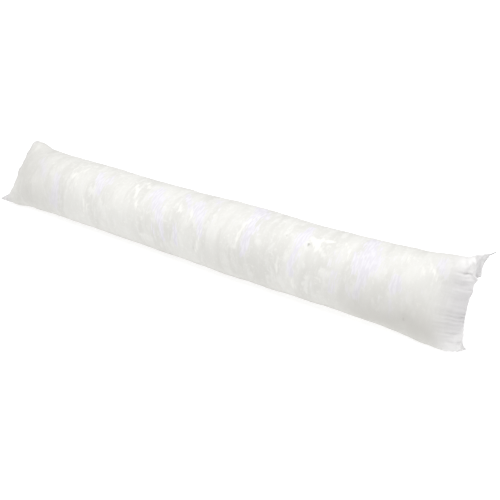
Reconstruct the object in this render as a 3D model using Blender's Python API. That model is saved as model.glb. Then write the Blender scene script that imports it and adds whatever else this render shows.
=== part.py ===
"""Draught excluder: one long cloth tube, filled with soft wadding and sewn flat across both ends.

Metres, +Z up. The tube lies along X on the surface z = 0, with its near end toward +X and its
front toward -Y. The origin is on that surface, under the middle of the part's box.

The tube is round along its middle and closes to a flat seam at each end, so each end has a top
and a bottom corner that stands out past the seam's drawn-in middle. A bag sewn like this is
wider across the seam than its round middle is, because half the girth is laid flat there. The
two seams are not parallel: the tube lies with a third of a quarter turn of twist in it.
"""
import math
from collections import namedtuple

import bmesh
import bpy
from mathutils import Vector

# Driving dimensions
LENGTH = 0.900
RADIUS = 0.0554
CLOSING_LENGTH = 0.192
SEAM_FLANGE = 0.0050
SEAM_THICKNESS = 0.0018
FLATTENED_BASE = 0.0030

# How fast the corner's extra width fades into the tube, as a power of the closeness to the seam
CORNER_FADE = 2.8
# How evenly thick the section is at the seam: 0 is pointed like a lens, 1 is square
SEAM_SQUARENESS = 0.7

# The filling is uneven, so the girth and the middle line change a little along the length.
# along: share of the half length. girth: share of RADIUS. sway: metres toward +Y.
BODY_ROWS = (
    # along, girth, sway
    (-1.00, 0.997, 0.0020),
    (-0.75, 1.016, -0.0010),
    (-0.50, 1.016, -0.0012),
    (-0.25, 1.002, -0.0010),
    (0.00, 0.997, -0.0010),
    (0.25, 1.016, -0.0010),
    (0.50, 0.986, 0.0030),
    (0.75, 0.994, 0.0055),
    (1.00, 0.975, -0.0050),
)

# Broad swellings and hollows of the wadding under the cloth.
# along: metres from the middle. around: degrees round from the top toward the front.
LUMP_ROWS = (
    # along, around, reach_along, reach_around, height
    (-0.36, 35, 0.045, 32, 0.0018),
    (-0.27, 75, 0.040, 30, -0.0016),
    (-0.19, 30, 0.050, 36, 0.0014),
    (-0.10, 80, 0.045, 34, 0.0016),
    (-0.02, 20, 0.040, 30, -0.0015),
    (0.07, 62, 0.050, 34, 0.0016),
    (0.15, 105, 0.038, 30, -0.0020),
    (0.19, 30, 0.036, 28, 0.0018),
    (0.27, 70, 0.032, 30, -0.0018),
    (0.33, 105, 0.042, 36, 0.0040),
    (-0.31, -60, 0.050, 40, 0.0016),
    (-0.12, -75, 0.050, 40, -0.0016),
    (0.06, -60, 0.055, 40, 0.0018),
    (0.22, -80, 0.050, 36, -0.0016),
    (0.34, -55, 0.040, 36, 0.0016),
)

# Puckers that run from a seam into the tube.
# across: place on the seam, from -1 at its bottom corner to 1 at its top one.
NEAR_PUCKER_ROWS = (
    # across, half_width, length, depth
    (0.70, 0.085, 0.040, 0.0030),
    (0.42, 0.080, 0.055, 0.0038),
    (0.14, 0.085, 0.034, 0.0026),
    (-0.12, 0.080, 0.050, 0.0036),
    (-0.40, 0.085, 0.036, 0.0028),
    (-0.68, 0.080, 0.048, 0.0034),
)
FAR_PUCKER_ROWS = (
    # across, half_width, length, depth
    (0.62, 0.085, 0.045, 0.0034),
    (0.33, 0.080, 0.032, 0.0026),
    (0.05, 0.085, 0.052, 0.0036),
    (-0.25, 0.080, 0.036, 0.0028),
    (-0.52, 0.085, 0.050, 0.0034),
    (-0.77, 0.080, 0.030, 0.0024),
)

# How far inside the stitching a pucker reaches its depth
PUCKER_START = 0.006

# half_width: half the seam, corner to corner. lean: degrees from upright toward the back.
# lift: of the seam off the surface. draw_in: how far the seam's middle lies behind its corners.
End = namedtuple("End", "half_width, lean, lift, draw_in, pucker_rows")
NEAR_END = End(0.0690, 11.3, -0.0040, 0.0085, NEAR_PUCKER_ROWS)
FAR_END = End(0.0688, 41.4, 0.0050, 0.0100, FAR_PUCKER_ROWS)
# How suddenly the drawn-in edge turns out to its corners: 2 is one even curve
CORNER_TURN = 3

# Mesh
POINTS_ROUND = 48
RINGS_AT_END = 20
RINGS_IN_MIDDLE = 36

STITCHED_HALF_LENGTH = LENGTH / 2 - SEAM_FLANGE

CLOTH_COLOUR = (0.86, 0.855, 0.835, 1.0)
CLOTH_ROUGHNESS = 0.7


def clear_scene():
    for old in list(bpy.data.objects):
        bpy.data.objects.remove(old, do_unlink=True)


def ease(share):
    """0 to 1 with a soft start and a soft end."""
    share = min(max(share, 0.0), 1.0)
    return share * share * (3 - 2 * share)


def through_rows(rows, column, along):
    """The value of one column at a place along the tube, on a smooth curve through the rows."""
    step = rows[1][0] - rows[0][0]
    last = len(rows) - 2
    row = min(max(int((along - rows[0][0]) / step), 0), last)
    share = (along - rows[row][0]) / step
    before = rows[max(row - 1, 0)][column]
    start = rows[row][column]
    end = rows[row + 1][column]
    after = rows[min(row + 2, last + 1)][column]
    return 0.5 * (
        2 * start
        + (end - before) * share
        + (2 * before - 5 * start + 4 * end - after) * share ** 2
        + (3 * start - before - 3 * end + after) * share ** 3
    )


def hump(offset, reach):
    """1 at the middle of a soft rise, fading to 0 past its reach."""
    return math.exp(-((offset / reach) ** 2))


def lump_height(along, around):
    """How far the wadding lifts the cloth at one place, in metres."""
    height = 0.0
    for lump_along, lump_around, reach_along, reach_around, lump in LUMP_ROWS:
        turn = (around - lump_around + 180) % 360 - 180
        height += lump * hump(along - lump_along, reach_along) * hump(turn, reach_around)
    return height


def pucker_depth(rows, across, from_seam):
    """How deep the gathers by one seam lie at one place, in metres."""
    depth = 0.0
    for place, half_width, length, deepest in rows:
        grows = ease(from_seam / PUCKER_START)
        fades = 1 - ease(from_seam / length)
        depth += deepest * hump(across - place, half_width) * grows * fades
    return depth


def nearest_end(along):
    return NEAR_END if along > 0 else FAR_END


def body_value(column, along):
    """One column of BODY_ROWS at a place given in metres."""
    share = min(max(along / (LENGTH / 2), -1.0), 1.0)
    return through_rows(BODY_ROWS, column, share)


def closeness(along):
    """0 along the round middle, rising to 1 at the stitching of the nearer end."""
    inside = STITCHED_HALF_LENGTH - abs(along)
    return 1 - min(max(inside / CLOSING_LENGTH, 0.0), 1.0)


def lean_at(along):
    """How far the section leans from upright toward the back, in radians."""
    share = (along + STITCHED_HALF_LENGTH) / (2 * STITCHED_HALF_LENGTH)
    return math.radians(FAR_END.lean + (NEAR_END.lean - FAR_END.lean) * ease(share))


def section_size(along):
    """Half the section's width, corner to corner, and half its depth, front to back."""
    shut = closeness(along)
    radius = RADIUS * body_value(1, along)
    half_width = radius + (nearest_end(along).half_width - radius) * shut ** CORNER_FADE
    half_depth = max(radius * math.sqrt(1 - shut ** 2), SEAM_THICKNESS / 2)
    return half_width, half_depth


def section_offset(along, across, side):
    """How far a point of the cloth lies from the section's middle: across the seam, then in depth.

    across is -1 at the bottom corner and 1 at the top one, and side is -1 on the front and 1 on
    the back.
    """
    flat = closeness(along) ** 2
    half_width, half_depth = section_size(along)
    round_across = math.sin(across * math.pi / 2)
    width = half_width * ((1 - flat) * round_across + flat * across)
    fullness = max(math.cos(across * math.pi / 2), 0.0) ** (1 - SEAM_SQUARENESS * flat)
    from_seam = STITCHED_HALF_LENGTH - abs(along)
    pucker = pucker_depth(nearest_end(along).pucker_rows, across, from_seam)
    depth = max(half_depth * fullness - pucker, SEAM_THICKNESS / 2 * fullness)
    return width, side * depth


def cloth_point(along, across, side):
    """A point of the cloth, no lower than the surface that the tube lies on."""
    end = nearest_end(along)
    shut = closeness(along)
    flat = shut ** 2
    lean = lean_at(along)
    width, depth = section_offset(along, across, side)
    sideways = width * math.sin(lean) + depth * math.cos(lean)
    upward = width * math.cos(lean) - depth * math.sin(lean)

    around = math.degrees(math.atan2(-sideways, upward))
    swell = 1 + lump_height(along, around) * ease(1 - shut) / RADIUS

    half_width, half_depth = section_size(along)
    reach_down = math.hypot(half_width * math.cos(lean), half_depth * math.sin(lean))
    middle_height = reach_down - FLATTENED_BASE * math.sqrt(1 - shut ** 2) + end.lift * flat
    drawn_in = end.draw_in * (1 - abs(across) ** CORNER_TURN) * flat
    return Vector((
        along - math.copysign(drawn_in, along),
        body_value(2, along) + sideways * swell,
        max(middle_height + upward * swell, 0.0),
    ))


def stations():
    """Places of the rings along the tube, closer together toward each seam."""
    quarter = math.pi / 2
    end = [
        STITCHED_HALF_LENGTH - CLOSING_LENGTH * (1 - math.cos(quarter * ring / RINGS_AT_END))
        for ring in range(RINGS_AT_END)
    ]
    middle_half = STITCHED_HALF_LENGTH - CLOSING_LENGTH
    middle = [
        -middle_half + 2 * middle_half * ring / RINGS_IN_MIDDLE
        for ring in range(RINGS_IN_MIDDLE + 1)
    ]
    places = [-LENGTH / 2]
    places += [-place for place in end]
    places += middle
    places += end[::-1]
    places.append(LENGTH / 2)
    return places


def round_places():
    """Across and side for each point of a ring: down the front, then up the back."""
    half = POINTS_ROUND // 2
    front = [(1 - 2 * step / half, -1) for step in range(half)]
    back = [(-1 + 2 * step / half, 1) for step in range(half)]
    return front + back


def build_tube():
    """The filled tube as one closed mesh."""
    mesh = bmesh.new()
    rings = [
        [mesh.verts.new(cloth_point(along, across, side)) for across, side in round_places()]
        for along in stations()
    ]
    for ring, following in zip(rings, rings[1:]):
        for spot in range(POINTS_ROUND):
            other = (spot + 1) % POINTS_ROUND
            mesh.faces.new((ring[spot], ring[other], following[other], following[spot]))
    close_end(mesh, rings[0])
    close_end(mesh, rings[-1])
    bmesh.ops.recalc_face_normals(mesh, faces=mesh.faces)
    centre_on_box(mesh)
    return mesh


def close_end(mesh, ring):
    """The cut edge of the seam: faces that join its front layer to its back one."""
    half = POINTS_ROUND // 2
    for spot in range(half):
        corners = [ring[spot], ring[spot + 1]]
        for opposite in (POINTS_ROUND - spot - 1, (POINTS_ROUND - spot) % POINTS_ROUND):
            if ring[opposite] not in corners:
                corners.append(ring[opposite])
        mesh.faces.new(corners)


def centre_on_box(mesh):
    """Move the tube so that the origin is under the middle of its box."""
    spans = [[vert.co[axis] for vert in mesh.verts] for axis in range(2)]
    middles = [(min(span) + max(span)) / 2 for span in spans]
    bmesh.ops.translate(mesh, verts=mesh.verts, vec=(-middles[0], -middles[1], 0.0))


def cloth_material():
    material = bpy.data.materials.new("tube_cloth")
    material.use_nodes = True
    shader = material.node_tree.nodes["Principled BSDF"]
    shader.inputs["Base Color"].default_value = CLOTH_COLOUR
    shader.inputs["Roughness"].default_value = CLOTH_ROUGHNESS
    shader.inputs["Metallic"].default_value = 0.0
    return material


def main():
    clear_scene()
    data = bpy.data.meshes.new("filled_tube")
    mesh = build_tube()
    mesh.to_mesh(data)
    mesh.free()
    data.materials.append(cloth_material())
    data.shade_smooth()
    tube = bpy.data.objects.new("filled_tube", data)
    bpy.context.collection.objects.link(tube)


main()
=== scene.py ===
# %% [markdown]
# A draught excluder in Blender: one long cloth tube, filled with soft wadding and sewn flat
# across both ends. Everything below is built around that solid, in metres, and replaces its
# plain surface with real cloth.

# %% Load the frame
import math
import random

import bpy
import numpy as np
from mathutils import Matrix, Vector, noise
from mathutils.bvhtree import BVHTree


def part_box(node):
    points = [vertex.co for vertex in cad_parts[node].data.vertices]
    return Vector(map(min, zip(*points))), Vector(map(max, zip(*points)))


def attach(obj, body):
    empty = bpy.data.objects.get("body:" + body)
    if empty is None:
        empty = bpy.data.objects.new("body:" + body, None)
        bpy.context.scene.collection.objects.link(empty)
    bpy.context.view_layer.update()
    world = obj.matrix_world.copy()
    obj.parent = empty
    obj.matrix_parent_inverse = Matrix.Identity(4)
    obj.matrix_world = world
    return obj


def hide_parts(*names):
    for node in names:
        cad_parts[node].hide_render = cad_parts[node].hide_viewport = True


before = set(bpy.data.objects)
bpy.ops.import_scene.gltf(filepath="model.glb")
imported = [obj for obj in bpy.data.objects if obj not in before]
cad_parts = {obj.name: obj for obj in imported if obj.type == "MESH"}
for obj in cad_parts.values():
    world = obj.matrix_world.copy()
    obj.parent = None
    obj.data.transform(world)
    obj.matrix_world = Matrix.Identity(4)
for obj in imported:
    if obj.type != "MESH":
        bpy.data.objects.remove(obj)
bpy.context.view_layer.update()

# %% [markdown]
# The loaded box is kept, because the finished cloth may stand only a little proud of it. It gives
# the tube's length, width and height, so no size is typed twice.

SOLID = "filled_tube"
low, high = (Vector(corner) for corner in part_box(SOLID))
size = high - low
print("solid:", [round(value, 4) for value in size])

# %% [markdown]
# The camera stands where the photograph was taken from, found by laying the tube's outline over
# the picture: a little above the tube, with its near end toward us. A longer lens from further
# away would flatten the tube, and a wider one would make the near end look swollen.

# %% Camera
VIEW_AZIMUTH = math.radians(35.484)
VIEW_ELEVATION = math.radians(26.651)
VIEW_DISTANCE = 1.0796
VIEW_TARGET = Vector((0.0586, 0.0666, 0.0))
LENS_MM = 46.8

toward_camera = Vector((
    math.sin(VIEW_AZIMUTH) * math.cos(VIEW_ELEVATION),
    -math.cos(VIEW_AZIMUTH) * math.cos(VIEW_ELEVATION),
    math.sin(VIEW_ELEVATION),
))
bpy.ops.object.camera_add(location=VIEW_TARGET + toward_camera * VIEW_DISTANCE)
camera = bpy.context.object
camera.name = "photo_camera"
camera.rotation_euler = toward_camera.to_track_quat("Z", "Y").to_euler()
camera.data.lens = LENS_MM
camera.data.sensor_width = 36.0
bpy.context.scene.camera = camera
print("camera at", [round(value, 3) for value in camera.location])

# %% [markdown]
# The tube lies on a white studio floor under one wide, soft light. A sun lamp with a large angle
# lights the whole floor evenly, which an area lamp close by would not, and a pale world fills
# the shadows. The Standard view keeps white cloth white instead of rolling it off to grey.

# %% Floor, light and world
FLOOR_HALF_SIZE = 30.0
SUN_STRENGTH = 2.75
SUN_ANGLE = math.radians(60)
SUN_FROM_FRONT = math.radians(11)
SUN_FROM_NEAR_END = math.radians(8)
WORLD_STRENGTH = 0.40
FLOOR_GREY = 0.45
FLOOR_GLOW = 0.72

bpy.ops.mesh.primitive_plane_add(size=2 * FLOOR_HALF_SIZE, location=(0, 0, -0.0002))
floor = bpy.context.object
floor.name = "studio_floor"
floor_white = bpy.data.materials.new("floor_white")
floor_white.use_nodes = True
floor_shader = floor_white.node_tree.nodes["Principled BSDF"]
floor_shader.inputs["Base Color"].default_value = (FLOOR_GREY, FLOOR_GREY, FLOOR_GREY, 1)
floor_shader.inputs["Roughness"].default_value = 1.0
floor_shader.inputs["Specular IOR Level"].default_value = 0.0
floor_shader.inputs["Emission Color"].default_value = (1, 1, 1, 1)
floor_shader.inputs["Emission Strength"].default_value = FLOOR_GLOW
floor.data.materials.append(floor_white)

bpy.ops.object.light_add(type="SUN", location=(0, 0, 2))
sun = bpy.context.object
sun.name = "soft_overhead"
sun.data.energy = SUN_STRENGTH
sun.data.angle = SUN_ANGLE
sun.rotation_euler = (SUN_FROM_FRONT, SUN_FROM_NEAR_END, 0)

world = bpy.data.worlds.new("studio_world")
bpy.context.scene.world = world
world.use_nodes = True
background = world.node_tree.nodes["Background"]
background.inputs["Color"].default_value = (1.0, 1.0, 1.0, 1)
background.inputs["Strength"].default_value = WORLD_STRENGTH
bpy.context.scene.view_settings.view_transform = "Standard"
print("floor, sun and world are ready")

# %% [markdown]
# The cloth starts as a copy of the solid, because the solid already lies as the real tube does.
# A loaded solid is loose triangles, so the copy is merged and its triangles are paired back into
# quads, which bend and subdivide evenly. A voxel remesh would do this too, but it would rub out
# the thin seam and its pointed corners.

# %% Copy the solid as one clean skin
MERGE_DISTANCE = 0.00002
PAIR_ANGLE = math.radians(60)


def select_only(piece):
    bpy.ops.object.select_all(action="DESELECT")
    piece.select_set(True)
    bpy.context.view_layer.objects.active = piece


def read_points(piece):
    """Every vertex of a piece as one row of x, y and z."""
    points = np.empty(len(piece.data.vertices) * 3, dtype=np.float32)
    piece.data.vertices.foreach_get("co", points)
    return points.reshape(-1, 3).astype(float)


def write_points(piece, points):
    piece.data.vertices.foreach_set("co", points.astype(np.float32).ravel())
    piece.data.update()


def read_normals(piece):
    normals = np.empty(len(piece.data.vertices) * 3, dtype=np.float32)
    piece.data.vertex_normals.foreach_get("vector", normals)
    return normals.reshape(-1, 3).astype(float)


cloth = bpy.data.objects.new("tube_cloth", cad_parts[SOLID].data.copy())
bpy.context.collection.objects.link(cloth)
select_only(cloth)
bpy.ops.object.mode_set(mode="EDIT")
bpy.ops.mesh.select_all(action="SELECT")
bpy.ops.mesh.remove_doubles(threshold=MERGE_DISTANCE)
bpy.ops.mesh.tris_convert_to_quads(face_threshold=PAIR_ANGLE, shape_threshold=PAIR_ANGLE)
bpy.ops.object.mode_set(mode="OBJECT")
print("skin:", len(cloth.data.vertices), "points,", len(cloth.data.polygons), "faces")

# %% [markdown]
# Each end is described by its two corners. A place on the seam is then a single number, from -1
# at the bottom corner to 1 at the top one, whatever way the seam leans. The same few lines serve
# both ends, and later the puckers and the stitches are placed with them.

# %% Find the sewn ends
CORNER_DEPTH = 0.0006
CORNER_TURN = 3


class SewnEnd:
    """One end of the tube: its corners, and how far its edge is drawn in between them."""

    def __init__(self, name, sign, points):
        self.name = name
        self.sign = sign
        tips = points[points[:, 0] * sign > high.x - CORNER_DEPTH]
        self.bottom = tips[tips[:, 2].argmin()]
        self.top = tips[tips[:, 2].argmax()]
        self.middle = (self.bottom + self.top) / 2
        self.half_width = np.linalg.norm(self.top - self.bottom) / 2
        self.upward = (self.top - self.bottom) / (2 * self.half_width)
        self.upward[0] = 0.0
        self.backward = np.array([0.0, self.upward[2], -self.upward[1]])
        across = self.across(points)
        centre = (np.abs(across) < 0.12) & (points[:, 0] * sign > 0)
        self.draw_in = high.x - (points[centre, 0] * sign).max()

    def across(self, points):
        return (points - self.middle) @ self.upward / self.half_width

    def edge_x(self, across):
        """How far from the tube's middle the cut edge lies."""
        return high.x - self.draw_in * (1 - np.abs(across) ** CORNER_TURN)

    def from_edge(self, points):
        """How far each point lies inside the cut edge, along the tube."""
        return self.edge_x(np.clip(self.across(points), -1, 1)) - points[:, 0] * self.sign


skin = read_points(cloth)
near_end = SewnEnd("near", 1, skin)
far_end = SewnEnd("far", -1, skin)
for end in (near_end, far_end):
    lean = math.degrees(math.atan2(end.upward[1], end.upward[2]))
    print(f"{end.name} seam: {2 * end.half_width:.3f} m wide, leans {lean:.0f} degrees,",
          f"drawn in {end.draw_in * 1000:.1f} mm")

# %% [markdown]
# Subdividing rounds every corner of a mesh, and the pointed corners of the seams would shrink.
# A crease keeps them: the outermost ring of edges at each end is marked as sharp, so the
# Subdivision Surface modifier rounds the tube but leaves the cut edge where it is.

# %% Subdivide the skin
EDGE_BAND = 0.0025


def smooth_with_levels(piece, levels):
    select_only(piece)
    modifier = piece.modifiers.new("finer", "SUBSURF")
    modifier.levels = levels
    modifier.render_levels = levels
    bpy.ops.object.modifier_apply(modifier=modifier.name)


def on_cut_edge(points):
    near = (points[:, 0] > 0) & (near_end.from_edge(points) < EDGE_BAND)
    far = (points[:, 0] < 0) & (far_end.from_edge(points) < EDGE_BAND)
    return near | far


def crease_cut_edges(piece):
    """Mark the outermost rings of edges, and their corner points, as sharp."""
    points = read_points(piece)
    rim = on_cut_edge(points)
    ends = np.array([edge.vertices[:] for edge in piece.data.edges])
    edge_crease = piece.data.attributes.new("crease_edge", "FLOAT", "EDGE")
    edge_crease.data.foreach_set("value", (rim[ends[:, 0]] & rim[ends[:, 1]]).astype(np.float32))
    tips = rim & (np.abs(points[:, 0]) > high.x - CORNER_DEPTH)
    tip_crease = piece.data.attributes.new("crease_vert", "FLOAT", "POINT")
    tip_crease.data.foreach_set("value", tips.astype(np.float32))


crease_cut_edges(cloth)
smooth_with_levels(cloth, 1)
print("subdivided:", len(cloth.data.vertices), "points")

# %% [markdown]
# Blender's cloth simulation turns the smooth skin into a filled bag. Gravity is off and a steady
# pressure stands for the wadding. The cloth is given a little more area than the skin has, and
# since the sewn ends are pinned, the spare cloth gathers beside them, as it does on the real
# tube. No point may move further than the cap. The simulation also rounds the whole tube, which
# is not wanted, because its shape was measured. So the broad part of the movement is found with a
# smooth fit over the length and the girth, and taken out again. The gathers are what is left.

# %% Fill the tube
PRESSURE = 2.0
SPARE_CLOTH = 0.012
SIMULATED_FRAMES = 20
LARGEST_MOVE = 0.004
PINNED_BAND = 0.0065
WAVES_ROUND = 4
WAVES_ALONG = 18
AXIS_HEIGHT = 0.0535


def pin_sewn_ends(piece):
    points = read_points(piece)
    near = (points[:, 0] > 0) & (near_end.from_edge(points) < PINNED_BAND)
    far = (points[:, 0] < 0) & (far_end.from_edge(points) < PINNED_BAND)
    group = piece.vertex_groups.new(name="pinned")
    group.add([int(index) for index in np.flatnonzero(near | far)], 1.0, "REPLACE")


def simulate_filling(piece):
    pin_sewn_ends(piece)
    modifier = piece.modifiers.new("filling", "CLOTH")
    settings = modifier.settings
    settings.quality = 6
    settings.mass = 0.15
    settings.tension_stiffness = 15
    settings.compression_stiffness = 15
    settings.shear_stiffness = 5
    settings.bending_stiffness = 0.02
    settings.use_pressure = True
    settings.uniform_pressure_force = PRESSURE
    settings.shrink_min = -SPARE_CLOTH
    settings.vertex_group_mass = "pinned"
    settings.effector_weights.gravity = 0
    modifier.collision_settings.use_collision = False
    scene = bpy.context.scene
    modifier.point_cache.frame_start = 1
    modifier.point_cache.frame_end = SIMULATED_FRAMES
    for step in range(1, SIMULATED_FRAMES + 1):
        scene.frame_set(step)
    select_only(piece)
    bpy.ops.object.modifier_apply(modifier=modifier.name)
    scene.frame_set(1)
    piece.vertex_groups.clear()


def broad_part(points, values):
    """A smooth fit to values over the tube: slow waves along it times slow waves round it."""
    turn = np.arctan2(-points[:, 1], points[:, 2] - AXIS_HEIGHT)
    share = (points[:, 0] - low.x) / size.x
    round_waves = [np.ones(len(points))]
    for wave in range(1, WAVES_ROUND + 1):
        round_waves += [np.cos(wave * turn), np.sin(wave * turn)]
    along_waves = [np.cos(math.pi * wave * share) for wave in range(WAVES_ALONG + 1)]
    columns = np.stack([a * b for a in round_waves for b in along_waves], axis=1)
    weights = np.linalg.lstsq(columns, values, rcond=None)[0]
    return columns @ weights


skin = read_points(cloth)
skin_normals = read_normals(cloth)
simulate_filling(cloth)
moved = read_points(cloth) - skin
distance = np.linalg.norm(moved, axis=1, keepdims=True)
moved *= np.minimum(1.0, LARGEST_MOVE / np.maximum(distance, 1e-9))
swelling = broad_part(skin, (moved * skin_normals).sum(axis=1))
filled = skin + moved - skin_normals * swelling[:, None]
filled[:, 2] = np.maximum(filled[:, 2], 0.0)
write_points(cloth, filled)
print("filling moved the cloth by up to", round(float(distance.max()) * 1000, 1), "mm, of which",
      round(float(np.abs(swelling).mean()) * 1000, 1), "mm of broad swelling was taken out")

# %% [markdown]
# One more subdivision gives the cloth enough points for its fine folds: they lie about 1.4 mm
# apart along a seam. From here on the folds are placed one by one. A simulation can't be told
# where to wrinkle, and the photograph shows just where this tube does.

# %% Enough points for the fine folds
smooth_with_levels(cloth, 1)
print("fine cloth:", len(cloth.data.vertices), "points")

# %% [markdown]
# Soft wadding is never even. It fills the tube in handfuls, so the cloth has low swellings and
# hollows a few centimetres wide. Layers of smooth noise give those everywhere, stretched round the
# tube because the wadding is pushed in from one end. The few hollows that catch the eye in the
# photograph are listed one by one.

# %% Uneven filling
SWELL_SIZE = 0.045
SWELL_HEIGHT = 0.0011
HANDFUL_SIZE = 0.016
HANDFUL_HEIGHT = 0.00055
HANDFUL_STRETCH = 0.45
HOLLOWS = (
    # along, around, reach, depth
    (0.369, 110, 0.0070, 0.0024),
    (0.232, 37, 0.0045, 0.0012),
    (0.189, 28, 0.0030, 0.0008),
    (0.300, 100, 0.0160, 0.0016),
    (0.345, 92, 0.0090, 0.0014),
    (0.060, 100, 0.0140, 0.0012),
    (-0.110, 88, 0.0120, 0.0012),
    (-0.235, 62, 0.0110, 0.0011),
    (0.160, 70, 0.0140, 0.0012),
    (0.395, 78, 0.0110, 0.0015),
    (-0.330, 60, 0.0120, 0.0013),
    (0.010, -70, 0.0150, 0.0014),
    (-0.200, -95, 0.0130, 0.0014),
    (0.260, -85, 0.0150, 0.0014),
    (0.430, 134, 0.0035, 0.0022),
)


def around_degrees(points):
    """Degrees round the tube from its top, positive toward the front."""
    return np.degrees(np.arctan2(-points[:, 1], points[:, 2] - AXIS_HEIGHT))


def noise_at(points, feature_size, stretch=1.0, offset=0.0):
    """Smooth noise from -1 to 1, its features stretched round the tube by 1 / stretch."""
    scaled = points / feature_size * np.array([1.0, stretch, stretch]) + offset
    return np.array([noise.noise(Vector(row)) for row in scaled])


def hollow_depth(points, rows):
    """How deep the listed hollows lie under each point."""
    turn = around_degrees(points)
    radius = np.hypot(points[:, 1], points[:, 2] - AXIS_HEIGHT)
    depth = np.zeros(len(points))
    for along, around, reach, deepest in rows:
        sideways = np.radians((turn - around + 180) % 360 - 180) * radius
        away = np.hypot(points[:, 0] - along, sideways)
        depth += deepest * np.exp(-(away / reach) ** 2)
    return depth


def distance_from_seam(points):
    """Metres from the nearer cut edge."""
    return np.where(points[:, 0] > 0, near_end.from_edge(points), far_end.from_edge(points))


def ease(values):
    values = np.clip(values, 0, 1)
    return values * values * (3 - 2 * values)


points = read_points(cloth)
normals = read_normals(cloth)
settled = ease((distance_from_seam(points) - 0.008) / 0.05)
relief = SWELL_HEIGHT * noise_at(points, SWELL_SIZE, offset=3.7)
relief += HANDFUL_HEIGHT * noise_at(points, HANDFUL_SIZE, stretch=HANDFUL_STRETCH, offset=11.2)
relief = relief * settled - hollow_depth(points, HOLLOWS)
points += normals * relief[:, None]
points[:, 2] = np.maximum(points[:, 2], 0.0)
write_points(cloth, points)
print("filling relief from", round(float(relief.min()) * 1000, 1), "to",
      round(float(relief.max()) * 1000, 1), "mm")

# %% [markdown]
# A flat seam takes half the girth of a round tube, so spare cloth is gathered into it and runs off
# as puckers, straight into the tube. Each one is a narrow crease between two soft ridges, deepest
# just inside the stitching. The main ones at the near end follow the photograph. Smaller ones,
# drawn from a seeded random source, fill the gaps and gather the far end and the hidden sides.

# %% Puckers at the seams
STITCH_LINE = 0.0050
PUCKER_START = 0.0065
PUCKER_RISE = 0.45
PUCKER_STRENGTH = 0.45
MAIN_PUCKERS = (
    # across, length, depth, width, slant
    (0.575, 0.024, 0.0034, 0.0013, 0.00),
    (0.520, 0.020, 0.0024, 0.0012, 0.00),
    (0.49, 0.018, 0.0022, 0.0012, 0.00),
    (0.44, 0.022, 0.0019, 0.0012, -0.02),
    (0.38, 0.026, 0.0015, 0.0013, -0.04),
    (0.30, 0.022, 0.0013, 0.0012, -0.02),
    (0.22, 0.020, 0.0011, 0.0011, 0.00),
    (0.12, 0.024, 0.0012, 0.0012, 0.02),
    (-0.04, 0.022, 0.0010, 0.0012, 0.03),
    (-0.16, 0.034, 0.0016, 0.0014, 0.05),
    (-0.23, 0.038, 0.0018, 0.0014, 0.07),
    (-0.31, 0.034, 0.0014, 0.0012, 0.06),
    (-0.39, 0.040, 0.0017, 0.0013, 0.08),
    (-0.47, 0.036, 0.0014, 0.0012, 0.10),
    (-0.56, 0.030, 0.0015, 0.0013, 0.12),
    (-0.72, 0.020, 0.0014, 0.0013, 0.16),
)
SMALL_PUCKERS_EACH_FACE = 34
SMOOTH_EAR_FROM = 0.59
SEAM_HALF_THICKNESS = 0.0008
ROUND_RISE = 0.20


def small_puckers(count, seed):
    """Evenly scattered small gathers, each with a length, depth, width and slant of its own."""
    source = random.Random(seed)
    rows = []
    for number in range(count):
        across = -0.92 + 1.84 * (number + source.uniform(0.15, 0.85)) / count
        rows.append((
            across,
            source.uniform(0.012, 0.034),
            source.uniform(0.0005, 0.0012),
            source.uniform(0.0009, 0.0014),
            source.uniform(-0.05, 0.05) - 0.10 * across,
        ))
    return rows


def pucker_relief(end, points, rows):
    """Height of the gathers on one face of one end: below 0 in a crease, above it on a ridge."""
    across = end.across(points) * end.half_width
    inside = end.from_edge(points) - STITCH_LINE
    relief = np.zeros(len(points))
    for place, length, deepest, width, slant in rows:
        away = np.abs(across - place * end.half_width + slant * inside) / width
        strength = ease(inside / PUCKER_START) * (1 - ease(inside / length))
        crease = np.exp(-away ** 2)
        ridges = PUCKER_RISE * np.exp(-((away - 2.1) / 1.1) ** 2)
        relief += deepest * strength * (ridges - crease)
    return relief * PUCKER_STRENGTH


def press_flat(end, points):
    """Press the seam allowance flat. From the stitching on, the cloth rises in a round."""
    offset = (points - end.middle) @ end.backward
    inside = end.from_edge(points) - STITCH_LINE
    limit = SEAM_HALF_THICKNESS + ROUND_RISE * np.sqrt(np.maximum(inside, 0))
    return points + (np.clip(offset, -limit, limit) - offset)[:, None] * end.backward


points = read_points(cloth)
for end in (near_end, far_end):
    here = points[:, 0] * end.sign > 0
    points[here] = press_flat(end, points[here])
write_points(cloth, points)
normals = read_normals(cloth)
relief = np.zeros(len(points))
for number, (end, rows) in enumerate(((near_end, MAIN_PUCKERS), (far_end, ()))):
    here = points[:, 0] * end.sign > 0
    face = (points - end.middle) @ end.backward
    for side, front in ((-1, True), (1, False)):
        chosen = here & (face * side > 0)
        scatter = small_puckers(SMALL_PUCKERS_EACH_FACE, seed=40 + 2 * number + side)
        if rows and front:
            scatter = [row for row in scatter if row[0] < SMOOTH_EAR_FROM]
        placed = list(rows) + scatter if front else scatter
        relief[chosen] = pucker_relief(end, points[chosen], placed)
points += normals * relief[:, None]
points[:, 2] = np.maximum(points[:, 2], 0.0)
write_points(cloth, points)
print("puckers from", round(float(relief.min()) * 1000, 1), "to",
      round(float(relief.max()) * 1000, 1), "mm")

# %% [markdown]
# At the near end the seam allowance has curled over to the back, so the front cloth wraps round
# the edge and hides the stitching. Only by the top corner does it stand out flat, and the place
# where it starts to curl is the sharp notch under the top ear. The curl is a turn about a line
# just inside the seam, and it fades out into the tube. A bend made with a modifier would turn the
# whole width alike, and the two ears would be lost.

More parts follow.
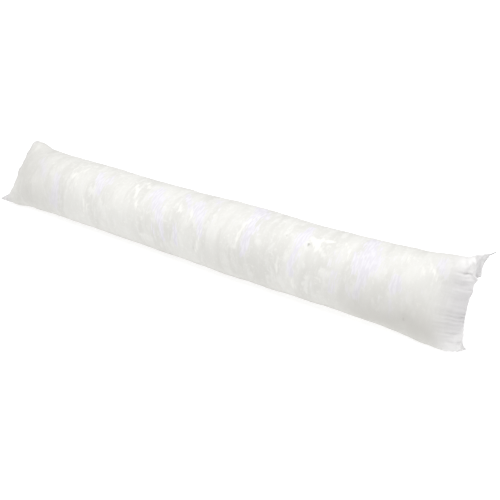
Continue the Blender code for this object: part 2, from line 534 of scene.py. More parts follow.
# %% Curl the near seam to the back
CURL_ANGLE = math.radians(62)
CURL_REACH = 0.015
CURL_PIVOT = 0.006
CURL_PIVOT_BACK = 0.002
CURL_TOP = (0.46, 0.60)
CURL_BOTTOM = (-0.82, -1.00)
RIPPLE_HEIGHT = 0.0007
RIPPLE_LENGTH = 0.017


def curl_share(across):
    """1 where the seam is curled right over, 0 at the two ears."""
    below_top = 1 - ease((across - CURL_TOP[0]) / (CURL_TOP[1] - CURL_TOP[0]))
    above_bottom = 1 - ease((CURL_BOTTOM[0] - across) / (CURL_BOTTOM[0] - CURL_BOTTOM[1]))
    return below_top * above_bottom


def turn_in_section(end, points, pivot_inside, pivot_back, angles):
    """Turn points toward the back about a line that runs along the seam."""
    away = end.edge_x(np.clip(end.across(points), -1, 1)) - STITCH_LINE - pivot_inside
    outward = points[:, 0] * end.sign - away
    back = (points - end.middle) @ end.backward - pivot_back
    new_outward = outward * np.cos(angles) - back * np.sin(angles)
    new_back = outward * np.sin(angles) + back * np.cos(angles)
    turned = points + (new_back - back)[:, None] * end.backward
    turned[:, 0] = (away + new_outward) * end.sign
    return turned


def shape_seam(end, points):
    """Give flat seam points their lasting shape: the curl, and a small ripple of the edge."""
    across = end.across(points)
    inside = end.from_edge(points) - STITCH_LINE
    shaped = points
    if end.name == "near":
        angles = CURL_ANGLE * curl_share(across) * (1 - ease(inside / CURL_REACH))
        shaped = turn_in_section(end, points, CURL_PIVOT, CURL_PIVOT_BACK, angles)
    free = ease(-inside / STITCH_LINE)
    place = across * end.half_width / RIPPLE_LENGTH
    ripple = RIPPLE_HEIGHT * free * (np.sin(2 * math.pi * place) + 0.6 * np.sin(9.1 * place + 1))
    return shaped + ripple[:, None] * end.backward


points = read_points(cloth)
for end in (near_end, far_end):
    here = points[:, 0] * end.sign > 0
    points[here] = shape_seam(end, points[here])
points[:, 2] = np.maximum(points[:, 2], 0.0)
write_points(cloth, points)
print("seam allowance curled over between", CURL_BOTTOM[0], "and", CURL_TOP[0], "of its width")

# %% [markdown]
# The ears hold almost no wadding. They are two layers of thin cloth that have been pressed and
# crushed, so they are covered in small sharp crumples rather than puckers. The one at the bottom
# of the near end, where the tube rests on it, is the most crushed. Ridged noise gives such
# creases: its sharp lines lie where smooth noise passes through zero.

# %% Crumple the ears
EARS = (
    # end, across, reach, height, crease size
    ("near", -0.86, 0.018, 0.0026, 0.0066),
    ("near", 0.95, 0.010, 0.0003, 0.0080),
    ("far", -0.92, 0.016, 0.0012, 0.0090),
    ("far", 0.92, 0.012, 0.0005, 0.0080),
)
SEAM_PULLS = (
    # end, across, inside, reach, then how far that place is pulled: outward, back and up
    ("near", -1.00, 0.000, 0.009, 0.0020, 0.0000, 0.0085),
    ("near", -0.86, 0.022, 0.016, 0.0000, -0.0030, -0.0010),
    ("near", -0.80, 0.048, 0.022, 0.0000, -0.0045, -0.0020),
    ("near", 0.50, 0.000, 0.008, 0.0035, 0.0000, 0.0000),
    ("near", 0.64, 0.000, 0.009, 0.0022, 0.0000, 0.0000),
    ("near", 0.88, 0.038, 0.024, 0.0000, 0.0000, 0.0042),
    ("near", 1.00, 0.000, 0.012, 0.0030, 0.0000, 0.0030),
    ("far", 1.00, 0.000, 0.012, -0.0140, -0.0030, -0.0030),
    ("far", 0.71, 0.016, 0.017, -0.0120, -0.0040, 0.0000),
    ("far", 0.88, 0.034, 0.025, 0.0000, 0.0000, 0.0070),
    ("far", -0.66, 0.016, 0.028, -0.0080, 0.0000, 0.0000),
    ("far", -0.94, 0.000, 0.010, 0.0075, -0.0020, 0.0020),
    ("far", -0.90, 0.030, 0.024, 0.0000, -0.0045, -0.0020),
)


def crumple(points, size, offset):
    """Creases from 0 to 1: sharp lines between flat facets."""
    coarse = 1 - np.abs(noise_at(points, size, offset=offset)) * 2
    fine = 1 - np.abs(noise_at(points, size * 0.45, offset=offset + 5)) * 2
    return np.clip(0.7 * coarse + 0.3 * fine, 0, 1)


def pull_seams(points):
    """Pull places on the seams to where they lie, and their surroundings less and less."""
    pulled = points.copy()
    for name, across, inside, reach, outward, back, up in SEAM_PULLS:
        end = near_end if name == "near" else far_end
        centre = end.middle + end.upward * end.half_width * across
        centre[0] = end.sign * (end.edge_x(across) - inside)
        share = np.exp(-(np.linalg.norm(points - centre, axis=1) / reach) ** 2)
        pulled += share[:, None] * np.array([end.sign * outward, back, up])
    return pulled


points = pull_seams(read_points(cloth))
write_points(cloth, points)
normals = read_normals(cloth)
for row, (name, across, reach, height, crease_size) in enumerate(EARS):
    end = near_end if name == "near" else far_end
    centre = end.middle + end.upward * end.half_width * across
    centre[0] = end.sign * (end.edge_x(across) - 0.008)
    share = np.exp(-(np.linalg.norm(points - centre, axis=1) / reach) ** 2)
    share *= 0.35 + 0.65 * ease(distance_from_seam(points) / STITCH_LINE)
    chosen = share > 0.02
    relief = crumple(points[chosen], crease_size, offset=2.3 * row) - 0.45
    points[chosen] += normals[chosen] * (relief * height * share[chosen])[:, None]
points[:, 2] = np.maximum(points[:, 2], 0.0)
write_points(cloth, points)
cloth.data.shade_smooth()
print("ears crumpled:", len(EARS))

# %% [markdown]
# The cloth is so thin that the wadding shows through it: pale lilac wisps and cream tufts, all
# running round the tube because the wadding was pushed in by handfuls. A few small dark spots are
# painted shade in pockets of the wadding. Broader strokes are painted shade along the underside,
# over the lower near end and the far end, in a hollow and in the crease under the top ear. Others
# are painted light on the top ear's lobe and hem and on the bottom ear.
# A picture of the cloth could be wrapped round it, but a few listed strokes need no picture and
# stay sharp at any distance. Each stroke is a bent line on the unrolled tube. It is stored on the
# cloth's points as a number from 0 to 1, which the material turns into colour.

# %% Draw the wisps of wadding, the painted shade and the painted light
UNROLLED_RADIUS = 0.055
WISPS = (
    # strength, then along, around and half width at each bend
    (0.72, ((-0.341, 22, 0.007), (-0.323, 41, 0.009), (-0.313, 56, 0.007))),
    (0.95, ((-0.277, 48, 0.005), (-0.272, 62, 0.007), (-0.274, 80, 0.011), (-0.279, 98, 0.010))),
    (0.90, ((-0.188, 20, 0.005), (-0.174, 38, 0.008), (-0.169, 53, 0.006))),
    (0.60, ((-0.161, 24, 0.009), (-0.157, 34, 0.006))),
    (0.95, ((-0.058, 21, 0.010), (-0.047, 38, 0.011), (-0.038, 53, 0.009), (-0.029, 68, 0.006),
            (-0.023, 80, 0.0035), (-0.021, 99, 0.0025))),
    (0.80, ((-0.041, 72, 0.0025), (-0.040, 90, 0.0025))),
    (0.85, ((0.001, 64, 0.003), (0.006, 80, 0.004), (0.005, 98, 0.003))),
    (0.80, ((-0.008, 7, 0.004), (0.005, 21, 0.005), (0.012, 32, 0.005))),
    (0.95, ((0.028, 27, 0.009), (0.040, 40, 0.009), (0.047, 54, 0.005), (0.054, 71, 0.004))),
    (0.60, ((0.050, 2, 0.006), (0.060, 16, 0.006))),
    (1.00, ((0.122, -8, 0.009), (0.129, 10, 0.009), (0.130, 25, 0.0075), (0.133, 42, 0.0085),
            (0.132, 57, 0.0065), (0.131, 70, 0.005), (0.130, 82, 0.0035))),
    (0.60, ((0.139, -4, 0.006), (0.143, 13, 0.006))),
    (1.00, ((0.211, 2, 0.0055), (0.214, 20, 0.006), (0.214, 33, 0.0055), (0.212, 46, 0.005),
            (0.211, 58, 0.0045), (0.210, 70, 0.004), (0.211, 88, 0.003))),
    (0.42, ((0.268, 38, 0.007), (0.271, 52, 0.0075), (0.273, 64, 0.0075))),
    (0.66, ((0.273, 64, 0.0075), (0.274, 78, 0.006), (0.273, 96, 0.0045))),
    (1.00, ((0.302, -8, 0.007), (0.308, 10, 0.010), (0.312, 27, 0.012), (0.313, 42, 0.012),
            (0.312, 54, 0.008), (0.311, 67, 0.006), (0.309, 80, 0.0055), (0.306, 92, 0.006))),
    (0.95, ((0.290, 24, 0.003), (0.297, 40, 0.0032), (0.300, 56, 0.003))),
    (0.95, ((0.356, 41, 0.003), (0.357, 50, 0.006), (0.356, 58, 0.009))),
    (0.62, ((0.352, 86, 0.005), (0.353, 100, 0.005), (0.353, 118, 0.004))),
    (0.60, ((0.402, 7, 0.005), (0.406, 17, 0.006))),
)
TUFTS = (
    # strength, then along, around and half width at each bend
    (1.00, ((0.225, 22, 0.0035), (0.232, 29, 0.0055), (0.239, 35, 0.005))),
    (0.95, ((0.234, 26, 0.004), (0.246, 19, 0.003), (0.257, 15, 0.002))),
    (0.80, ((0.271, 12, 0.0022), (0.280, 22, 0.003), (0.284, 34, 0.003), (0.284, 43, 0.002))),
    (0.85, ((-0.106, 18, 0.003), (-0.091, 42, 0.0035), (-0.082, 62, 0.003))),
    (0.75, ((-0.090, 6, 0.004), (-0.079, 18, 0.0045))),
    (0.70, ((-0.004, 36, 0.004), (0.002, 44, 0.003))),
    (0.70, ((-0.216, 2, 0.0035), (-0.224, 24, 0.004), (-0.240, 42, 0.0045))),
    (0.60, ((-0.238, 14, 0.003), (-0.248, 28, 0.0035))),
    (0.75, ((-0.231, 34, 0.0028), (-0.228, 52, 0.0025), (-0.233, 72, 0.0025))),
    (0.65, ((-0.181, 46, 0.0025), (-0.187, 77, 0.0025), (-0.203, 104, 0.002))),
    (0.60, ((-0.206, 62, 0.0025), (-0.197, 82, 0.0025), (-0.190, 98, 0.002))),
    (0.85, ((0.121, 38, 0.003), (0.119, 56, 0.0035), (0.115, 64, 0.0025), (0.116, 74, 0.002))),
    (1.00, ((0.131, 14, 0.0022), (0.127, 25, 0.0026), (0.123, 35, 0.002))),
    (0.85, ((0.051, 64, 0.002), (0.053, 76, 0.0022), (0.049, 90, 0.0022), (0.041, 107, 0.002))),
    (0.75, ((0.187, 70, 0.003), (0.188, 90, 0.0032))),
    (0.60, ((0.213, 94, 0.0045), (0.215, 110, 0.004))),
    (0.70, ((0.357, 5, 0.003), (0.362, 16, 0.003))),
    (0.75, ((0.380, 16, 0.003), (0.386, 27, 0.0035))),
    (0.80, ((0.388, 8, 0.0025), (0.396, 20, 0.003), (0.400, 30, 0.003))),
    (0.60, ((-0.345, -6, 0.0025), (-0.360, 12, 0.0025))),
    (0.55, ((-0.335, -4, 0.0025), (-0.350, 16, 0.0025))),
    (0.60, ((0.022, 34, 0.0025), (0.027, 48, 0.003), (0.024, 60, 0.002))),
)
# Painted shade: small dark spots in the pockets and hollows of the wadding.
PAINTED_SHADE_SPOTS = (
    # strength, then along, around and half width at each bend
    (0.64, ((0.2243, 38, 0.0015), (0.2248, 32, 0.0024))),
    (0.50, ((0.1875, 31, 0.0023), (0.1905, 27, 0.0020))),
    (0.46, ((0.3718, 113, 0.0034), (0.3720, 117, 0.0036))),
    (0.55, ((0.008, 99, 0.0018), (0.008, 103, 0.0018))),
    (0.45, ((0.044, 84, 0.0018), (0.040, 100, 0.0018))),
)
# Painted shade: darker strokes along the underside, over the lower near end and the far end, in a
# hollow by the bottom ear and under the top ear's lobe.
PAINTED_SHADE_PARTS = (
    # strength, then along, around and half width at each bend
    (1.00, ((0.320, 128, 0.036), (0.385, 118, 0.036), (0.405, 126, 0.030))),
    (0.66, ((-0.390, 40, 0.055), (-0.345, 116, 0.068))),
    (0.40, ((0.150, 122, 0.025), (0.080, 120, 0.025))),
    (0.95, ((-0.420, 149, 0.018), (0.280, 149, 0.018))),
    (0.80, ((0.4320, 133, 0.0025), (0.4335, 137, 0.0025))),
    (0.85, ((0.4280, 14, 0.0035), (0.4350, 9, 0.0045), (0.4400, -4, 0.0045))),
)
# Painted light: lighter strokes on the top ear's lobe and hem and on the bottom ear of the near
# end.
PAINTED_LIGHT_PARTS = (
    # strength, then along, around and half width at each bend
    (0.95, ((0.424, -9, 0.011), (0.431, -1, 0.009))),
    (0.95, ((0.4310, 1, 0.0060), (0.4370, -1, 0.0040))),
    (1.00, ((0.4490, -6, 0.0022), (0.4470, -5, 0.0022), (0.4455, -2, 0.0022))),
    (0.85, ((0.432, 148, 0.011), (0.440, 156, 0.011), (0.450, 172, 0.008))),
)
# Painted light round the bottom ear of the near end.
PAINTED_LIGHT_EAR = (0.446, -0.015, 0.006)
PAINTED_LIGHT_EAR_REACH = 0.022
WAVER = 0.0028
WAVER_SIZE = 0.013


def stroke_strength(points, strokes):
    """How strongly each point of the cloth is covered by the given strokes, from 0 to 1."""
    turn = around_degrees(points)
    waver_along = WAVER * noise_at(points, WAVER_SIZE, offset=21.0)
    waver_around = WAVER * noise_at(points, WAVER_SIZE, offset=33.0)
    strongest = np.zeros(len(points))
    for strength, bends in strokes:
        first_turn = bends[0][1]
        arc = np.radians((turn - first_turn + 180) % 360 - 180) * UNROLLED_RADIUS
        place = np.stack([points[:, 0] + waver_along, arc + waver_around], axis=1)
        for bend, following in zip(bends, bends[1:]):
            start, stop = (
                np.array([along, math.radians(around - first_turn) * UNROLLED_RADIUS])
                for along, around, half_width in (bend, following)
            )
            step = stop - start
            share = np.clip((place - start) @ step / (step @ step), 0, 1)
            away = np.linalg.norm(place - start - share[:, None] * step, axis=1)
            half_width = bend[2] + share * (following[2] - bend[2])
            cover = strength * np.exp(-0.7 * (away / half_width) ** 1.5)
            strongest = np.maximum(strongest, cover)
    return strongest


def scattered_strokes(count, seed, turns, widths):
    """Strokes for the sides that the photograph doesn't show, each of three or four bends."""
    source = random.Random(seed)
    strokes = []
    for number in range(count):
        along = -0.40 + 0.80 * (number + source.uniform(0.1, 0.9)) / count
        around = source.uniform(*turns)
        slant = source.uniform(-0.006, 0.008)
        bends = []
        for bend in range(source.choice((3, 4))):
            place = along + slant * bend + source.uniform(-0.002, 0.002)
            bends.append((place, around + 17 * bend, source.uniform(*widths)))
        strokes.append((source.uniform(0.55, 1.0), tuple(bends)))
    return strokes


def store_on_points(piece, name, values):
    attribute = piece.data.attributes.new(name, "FLOAT", "POINT")
    attribute.data.foreach_set("value", values.astype(np.float32))


HIDDEN_SIDE = (152, 275)
hidden_wisps = scattered_strokes(26, seed=5, turns=HIDDEN_SIDE, widths=(0.003, 0.010))
hidden_tufts = scattered_strokes(34, seed=6, turns=HIDDEN_SIDE, widths=(0.002, 0.004))
points = read_points(cloth)
store_on_points(cloth, "wisp", stroke_strength(points, list(WISPS) + hidden_wisps))
store_on_points(cloth, "tuft", stroke_strength(points, list(TUFTS) + hidden_tufts))
store_on_points(cloth, "shade_spot", stroke_strength(points, PAINTED_SHADE_SPOTS))
store_on_points(cloth, "painted_shade", stroke_strength(points, PAINTED_SHADE_PARTS))
painted_light_ear = np.exp(-(np.linalg.norm(points - PAINTED_LIGHT_EAR, axis=1) / PAINTED_LIGHT_EAR_REACH) ** 2)
store_on_points(cloth, "painted_light", np.maximum(stroke_strength(points, PAINTED_LIGHT_PARTS), painted_light_ear))
filled_share = ease((distance_from_seam(points) - 0.002) / 0.042)
store_on_points(cloth, "filled", filled_share)
print(len(WISPS) + len(hidden_wisps), "wisps and", len(TUFTS) + len(hidden_tufts), "tufts")

# %% [markdown]
# The material has three layers. The ground is the mottled wadding seen through the cloth: soft
# patches and streaks, stretched round the tube by a Mapping node. On it lie the strokes, and noise
# added before their edges are cut off makes those edges fibrous. Last comes the cloth itself: a
# close weave and small crinkles in the bump, a silky sheen, and smoother, greyer ends where there
# is no wadding behind it. That grey is darkened beyond the cloth's own tone as painted shade where
# the near seam curls away. All of it reads Object coordinates, so nothing has to be unwrapped.

# %% Cloth material
GROUND_DULL = (0.680, 0.674, 0.645, 1)
GROUND_PALE = (0.735, 0.730, 0.702, 1)
STREAK_PALE = (0.765, 0.761, 0.735, 1)
WISP_DEEP = (0.705, 0.684, 0.737, 1)
WISP_PALE = (0.770, 0.754, 0.794, 1)
TUFT_CREAM = (0.825, 0.820, 0.787, 1)
EMPTY_CLOTH_AND_SHADE = (0.622, 0.609, 0.616, 1)
# Colour of the painted light.
PAINTED_LIGHT_CLOTH = (0.800, 0.792, 0.785, 1)
# Colour of the painted shade.
PAINTED_SHADE_CLOTH = (0.560, 0.548, 0.520, 1)
# Colour of the painted shade spots.
SHADE_SPOT_DARK = (0.330, 0.325, 0.290, 1)
ROUND_THE_TUBE = (1.0, 0.22, 0.22)
BLOTCH_STRETCH = (1.0, 0.5, 0.5)


def new_material(name):
    material = bpy.data.materials.new(name)
    material.use_nodes = True
    return material, material.node_tree, material.node_tree.nodes["Principled BSDF"]


def feed(tree, socket, value):
    """Set a socket to a plain value, or link another node's output to it."""
    if isinstance(value, bpy.types.NodeSocket):
        tree.links.new(value, socket)
    else:
        socket.default_value = value


def stretched_coordinates(tree, scale, turn=(0, 0, 0)):
    coordinates = tree.nodes.new("ShaderNodeTexCoord")
    mapping = tree.nodes.new("ShaderNodeMapping")
    mapping.inputs["Scale"].default_value = scale
    mapping.inputs["Rotation"].default_value = turn
    tree.links.new(coordinates.outputs["Object"], mapping.inputs["Vector"])
    return mapping.outputs["Vector"]


def noise_node(tree, vector, scale, detail=3.0, roughness=0.5):
    texture = tree.nodes.new("ShaderNodeTexNoise")
    tree.links.new(vector, texture.inputs["Vector"])
    texture.inputs["Scale"].default_value = scale
    texture.inputs["Detail"].default_value = detail
    texture.inputs["Roughness"].default_value = roughness
    return texture.outputs["Fac"]


def attribute_node(tree, name):
    reader = tree.nodes.new("ShaderNodeAttribute")
    reader.attribute_name = name
    return reader.outputs["Fac"]


def calculate(tree, operation, first, second, third=0.0):
    step = tree.nodes.new("ShaderNodeMath")
    step.operation = operation
    for socket, value in zip(step.inputs, (first, second, third)):
        feed(tree, socket, value)
    return step.outputs["Value"]


def soft_step(tree, value, low, high, start=0.0, stop=1.0):
    step = tree.nodes.new("ShaderNodeMapRange")
    step.interpolation_type = "SMOOTHSTEP"
    feed(tree, step.inputs["Value"], value)
    step.inputs["From Min"].default_value = low
    step.inputs["From Max"].default_value = high
    step.inputs["To Min"].default_value = start
    step.inputs["To Max"].default_value = stop
    return step.outputs["Result"]


def mix_colours(tree, share, first, second):
    mixer = tree.nodes.new("ShaderNodeMix")
    mixer.data_type = "RGBA"
    colours = [socket for socket in mixer.inputs if socket.type == "RGBA"]
    feed(tree, mixer.inputs["Factor"], share)
    feed(tree, colours[0], first)
    feed(tree, colours[1], second)
    return next(socket for socket in mixer.outputs if socket.type == "RGBA")


cloth_finish, tree, shader = new_material("thin_cloth_over_wadding")
round_tube = stretched_coordinates(tree, ROUND_THE_TUBE, (0, 0, math.radians(6)))
plain = stretched_coordinates(tree, (1, 1, 1))
blotchy = stretched_coordinates(tree, BLOTCH_STRETCH, (0, 0, math.radians(12)))
patches = noise_node(tree, round_tube, 42, detail=3)
blotches = noise_node(tree, blotchy, 78, detail=4, roughness=0.6)
streaks = noise_node(tree, round_tube, 170, detail=5, roughness=0.62)
strands = noise_node(tree, round_tube, 420, detail=3, roughness=0.5)
flecks = noise_node(tree, plain, 190, detail=2)
ground = mix_colours(tree, soft_step(tree, patches, 0.38, 0.62), GROUND_DULL, GROUND_PALE)
blotched = mix_colours(tree, soft_step(tree, blotches, 0.50, 0.66), ground, STREAK_PALE)
streaked = mix_colours(
    tree, soft_step(tree, streaks, 0.48, 0.72, stop=0.7), blotched, STREAK_PALE
)
flecked = mix_colours(tree, soft_step(tree, flecks, 0.54, 0.76, stop=0.55), streaked, TUFT_CREAM)
print("ground of the cloth: patches, blotches, streaks and flecks")

# %% [markdown]
# The strokes come next. Their strength has noise added and is then cut off over a short range,
# which frays them along the streaks of the wadding.

# %% Wisps, painted shade and painted light in the material
streak_fray = calculate(tree, "MULTIPLY_ADD", streaks, 1.6, -0.8)
fray = calculate(tree, "MULTIPLY_ADD", strands, 1.3, calculate(tree, "ADD", streak_fray, -0.65))
wisp_cover = calculate(tree, "ADD", attribute_node(tree, "wisp"), fray)
wisp_share = soft_step(tree, wisp_cover, 0.26, 0.66)
wisp_colour = mix_colours(tree, soft_step(tree, strands, 0.40, 0.62), WISP_DEEP, WISP_PALE)
with_wisps = mix_colours(tree, wisp_share, flecked, wisp_colour)
tuft_cover = calculate(tree, "ADD", attribute_node(tree, "tuft"), fray)
tuft_share = soft_step(tree, tuft_cover, 0.30, 0.85)
with_tufts = mix_colours(tree, tuft_share, with_wisps, TUFT_CREAM)
# Painted shade darkens the cloth where it lies in shade.
painted_shade_share = calculate(tree, "MULTIPLY", attribute_node(tree, "painted_shade"), 0.9)
with_painted_shade = mix_colours(tree, painted_shade_share, with_tufts, PAINTED_SHADE_CLOTH)
filled = attribute_node(tree, "filled")
# Greyer where no wadding lies behind the cloth, and darker still as painted shade where the near
# seam curls away.
whole_cloth = mix_colours(tree, filled, EMPTY_CLOTH_AND_SHADE, with_painted_shade)
# Painted light lightens the lobe, the hem and the bottom ear of the near end.
whole_cloth = mix_colours(tree, attribute_node(tree, "painted_light"), whole_cloth, PAINTED_LIGHT_CLOTH)
# Painted shade: dark spots in small pockets of the wadding.
shade_spot_share = soft_step(tree, attribute_node(tree, "shade_spot"), 0.25, 0.75)
tree.links.new(
    mix_colours(tree, shade_spot_share, whole_cloth, SHADE_SPOT_DARK), shader.inputs["Base Color"]
)
print("wisps, tufts, specks and empty ends are mixed in")

# %% [markdown]
# The weave is far finer than the picture shows, but it is what keeps the cloth from looking like
# plastic close up. Two fine waves at right angles give its threads. Crinkles a few millimetres
# long lie over it. The empty ends, where nothing stretches the cloth, are smoother and glossier.

# %% Weave, crinkles and sheen
THREADS_PER_METRE = 2600
WAVE_SCALE_PER_BAND = 2 * math.pi / 20
WEAVE_HEIGHT = 0.00002
CRINKLE_HEIGHT = 0.0007


def wave_node(tree, vector, direction, scale):
    texture = tree.nodes.new("ShaderNodeTexWave")
    texture.bands_direction = direction
    tree.links.new(vector, texture.inputs["Vector"])
    texture.inputs["Scale"].default_value = scale
    texture.inputs["Distortion"].default_value = 0.4
    return texture.outputs["Fac"]


def bump_node(tree, height, distance, normal=None):
    bump = tree.nodes.new("ShaderNodeBump")
    bump.inputs["Distance"].default_value = distance
    bump.inputs["Strength"].default_value = 1.0
    tree.links.new(height, bump.inputs["Height"])
    if normal is not None:
        tree.links.new(normal, bump.inputs["Normal"])
    return bump.outputs["Normal"]


thread_scale = THREADS_PER_METRE * WAVE_SCALE_PER_BAND
weft = wave_node(tree, plain, "X", thread_scale)
warp = wave_node(tree, plain, "DIAGONAL", thread_scale)
weave = calculate(tree, "MAXIMUM", weft, warp)
crinkles = noise_node(tree, round_tube, 95, detail=4, roughness=0.55)
woven = bump_node(tree, weave, WEAVE_HEIGHT)
tree.links.new(bump_node(tree, crinkles, CRINKLE_HEIGHT, woven), shader.inputs["Normal"])
gloss = soft_step(tree, filled, 0.0, 1.0, start=0.42, stop=0.60)
rubbed = calculate(tree, "MULTIPLY_ADD", patches, 0.16, -0.08)
tree.links.new(calculate(tree, "ADD", gloss, rubbed), shader.inputs["Roughness"])
shader.inputs["Sheen Weight"].default_value = 0.12
shader.inputs["Sheen Roughness"].default_value = 0.4
shader.inputs["Specular IOR Level"].default_value = 0.35
cloth.data.materials.clear()
cloth.data.materials.append(cloth_finish)
print("cloth material has", len(tree.nodes), "nodes")

# %% [markdown]
# Both cut edges are overlocked, so that the thin cloth can't fray: a loop of thread goes round the
# edge every few millimetres, and a row of straight stitches beside them closes the tube. One loop
# is a torus, squashed to the flat seam. It is made once in the seam's own directions, along the
# seam, into the tube and through the cloth, and each copy is bent with the same functions that
# bent the cloth, so the thread stays on the edge where it curls over.

# %% Overlock the cut edges
THREAD_RADIUS = 0.00028
LOOP_SPACING = 0.0031
LOOP_DEPTH = 0.0021
LOOP_HALF_THICKNESS = 0.00125
LOOP_SLANT = 0.0006
EDGE_OVERHANG = 0.0003


def seam_place(end, across, inside, lift):
    """Points on a seam: place across it, metres inside its cut edge, metres off its middle."""
    points = end.middle + np.outer(across * end.half_width, end.upward)
    points += np.outer(lift, end.backward)
    points[:, 0] = end.sign * (end.edge_x(np.clip(across, -1, 1)) - inside)
    return pull_seams(shape_seam(end, points))


def copy_onto_seam(master, end, across, inside, lift=0.0, flip=1.0):
    """One copy of a stitch, with its own mesh, bent onto the seam."""
    stitch = master.copy()
    stitch.data = master.data.copy()
    bpy.context.collection.objects.link(stitch)
    along, inward, through = read_points(master).T
    placed = seam_place(
        end, across + flip * along / end.half_width, inside + inward, lift + through
    )
    write_points(stitch, placed)
    return stitch


def join_pieces(pieces, name):
    bpy.ops.object.select_all(action="DESELECT")
    for piece in pieces:
        piece.select_set(True)
    bpy.context.view_layer.objects.active = pieces[0]
    bpy.ops.object.join()
    joined = bpy.context.object
    joined.name = name
    bpy.ops.object.mode_set(mode="EDIT")
    bpy.ops.mesh.select_all(action="SELECT")
    bpy.ops.mesh.normals_make_consistent(inside=False)
    bpy.ops.object.mode_set(mode="OBJECT")
    joined.data.shade_smooth()
    return joined


bpy.ops.object.select_all(action="DESELECT")
bpy.ops.mesh.primitive_torus_add(
    major_segments=12, minor_segments=5, major_radius=LOOP_DEPTH, minor_radius=THREAD_RADIUS,
    rotation=(0, math.pi / 2, 0),
)
loop = bpy.context.object
bpy.ops.object.transform_apply(location=True, rotation=True, scale=True)
bpy.ops.object.mode_set(mode="EDIT")
bpy.ops.mesh.select_all(action="SELECT")
bpy.ops.transform.resize(value=(1, 1, LOOP_HALF_THICKNESS / LOOP_DEPTH))
bpy.ops.object.mode_set(mode="OBJECT")
slanted = read_points(loop)
slanted[:, 0] += slanted[:, 2] / LOOP_HALF_THICKNESS * LOOP_SLANT
write_points(loop, slanted)

edge_stitching = []
for end in (near_end, far_end):
    count = round(2 * end.half_width / LOOP_SPACING)
    places = (np.arange(count) + 0.5) / count * 2 - 1
    loops = [
        copy_onto_seam(loop, end, 0.985 * place, LOOP_DEPTH - EDGE_OVERHANG) for place in places
    ]
    edge_stitching.append(join_pieces(loops, f"{end.name}_edge_stitching"))
bpy.data.objects.remove(loop)
print("loops:", [len(piece.data.polygons) for piece in edge_stitching], "faces")

# %% [markdown]
# The straight stitches are short bars of thread, pulled into the cloth at both ends. A sphere
# with few sides, stretched along the seam, is enough for each one. They show on both faces. The
# gathers lift and lower the cloth along the stitching, so each bar starts a little off its face
# and is moved to the nearest place on the cloth.

# %% Close the seams with straight stitches
STITCH_LENGTH = 0.0027
STITCH_GAP = 0.0008
STITCH_LIFT = 0.0016
STITCH_PROUD = 0.0001


def lay_on_cloth(stitch, surface):
    """Move a stitch onto the nearest place of the cloth, sunk in by nearly half."""
    points = read_points(stitch)
    centre = Vector(points.mean(axis=0))
    place, normal, face, distance = surface.find_nearest(centre)
    write_points(stitch, points + np.array(place + normal * STITCH_PROUD - centre))


surface = BVHTree.FromObject(cloth, bpy.context.evaluated_depsgraph_get())
bpy.ops.object.select_all(action="DESELECT")
bpy.ops.mesh.primitive_uv_sphere_add(segments=8, ring_count=6, radius=THREAD_RADIUS)
bar = bpy.context.object
bpy.ops.object.mode_set(mode="EDIT")
bpy.ops.mesh.select_all(action="SELECT")
bpy.ops.transform.resize(value=(STITCH_LENGTH / 2 / THREAD_RADIUS, 1, 1))
bpy.ops.object.mode_set(mode="OBJECT")

needle_stitches = []
for end in (near_end, far_end):
    count = round(2 * end.half_width / (STITCH_LENGTH + STITCH_GAP))
    places = (np.arange(count) + 0.5) / count * 2 - 1
    bars = [
        copy_onto_seam(bar, end, 0.97 * place, STITCH_LINE - 0.0002, lift)
        for place in places for lift in (-STITCH_LIFT, STITCH_LIFT)
    ]
    for stitch in bars:
        lay_on_cloth(stitch, surface)
    needle_stitches.append(join_pieces(bars, f"{end.name}_needle_stitches"))
bpy.data.objects.remove(bar)
print("straight stitches:", [len(piece.data.polygons) for piece in needle_stitches], "faces")

# %% [markdown]
# The overlock thread runs on past the top corner of the near end, where it was cut off and left
# as a short grey tail. It is a curve with a round section, a little thicker where the threads
# are still twisted together, and made a mesh before it is finished.

# %% Thread tail at the top corner
TAIL_RADIUS = 0.00055
TAIL_POINTS = (
    # along, back and up from the top corner, thickness
    (-0.0035, 0.0000, -0.0012, 1.0),
    (0.0020, 0.0015, 0.0008, 1.1),
    (0.0048, 0.0052, 0.0020, 0.9),
    (0.0062, 0.0090, 0.0024, 0.45),
)

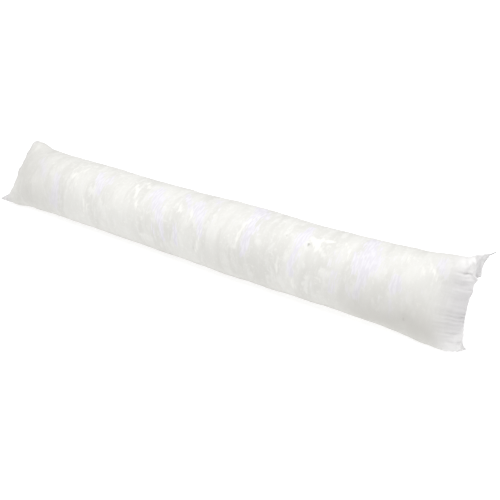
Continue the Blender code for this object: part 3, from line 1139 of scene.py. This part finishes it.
bpy.ops.object.select_all(action="DESELECT")
bpy.ops.curve.primitive_bezier_curve_add()
tail = bpy.context.object
tail.name = "near_thread_tail"
curve = tail.data
curve.bevel_depth = TAIL_RADIUS
curve.bevel_resolution = 2
curve.use_fill_caps = True
spline = curve.splines[0]
spline.bezier_points.add(len(TAIL_POINTS) - 2)
for knot, (along, back, up, thickness) in zip(spline.bezier_points, TAIL_POINTS):
    knot.co = Vector(near_end.top) + Vector((along, back, up))
    knot.handle_left_type = "AUTO"
    knot.handle_right_type = "AUTO"
    knot.radius = thickness
bpy.ops.object.convert(target="MESH")
tail = bpy.context.object
bpy.ops.object.transform_apply(location=True, rotation=True, scale=True)
tail.data.shade_smooth()
print("thread tail:", len(tail.data.polygons), "faces")

# %% [markdown]
# Thread is brighter on its ridges than between its plies. A fine noise along the thread gives the
# twist in the bump, and in the colour as painted shade between the plies and painted light on
# their ridges. The tail is a darker grey than the loops as painted shade, because the bundle of
# threads holds a shadow that a single one doesn't.

# %% Thread materials


def thread_material(name, dark, painted_light):
    material, tree, shader = new_material(name)
    fine = stretched_coordinates(tree, (1, 1, 1), (0.5, 0.3, 0.2))
    twist = noise_node(tree, fine, 2200, detail=2)
    # Painted shade between the plies and painted light on their ridges, following the twist.
    colour = mix_colours(tree, soft_step(tree, twist, 0.35, 0.65), dark, painted_light)
    tree.links.new(colour, shader.inputs["Base Color"])
    tree.links.new(bump_node(tree, twist, 0.0001), shader.inputs["Normal"])
    tree.links.new(soft_step(tree, twist, 0, 1, start=0.6, stop=0.8), shader.inputs["Roughness"])
    shader.inputs["Sheen Weight"].default_value = 0.1
    return material


white_thread = thread_material("white_thread", (0.60, 0.60, 0.62, 1), (0.80, 0.80, 0.81, 1))
shaded_tail_thread = thread_material("shaded_tail_thread", (0.16, 0.16, 0.17, 1), (0.30, 0.30, 0.31, 1))
for piece in edge_stitching + needle_stitches:
    piece.data.materials.clear()
    piece.data.materials.append(white_thread)
tail.data.materials.clear()
tail.data.materials.append(shaded_tail_thread)
print("thread materials set on", len(edge_stitching + needle_stitches) + 1, "pieces")

# %% [markdown]
# Last, all the pieces ride on the one body, and the plain solid is hidden.

for piece in [cloth, tail] + edge_stitching + needle_stitches:
    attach(piece, "root")
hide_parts(SOLID)
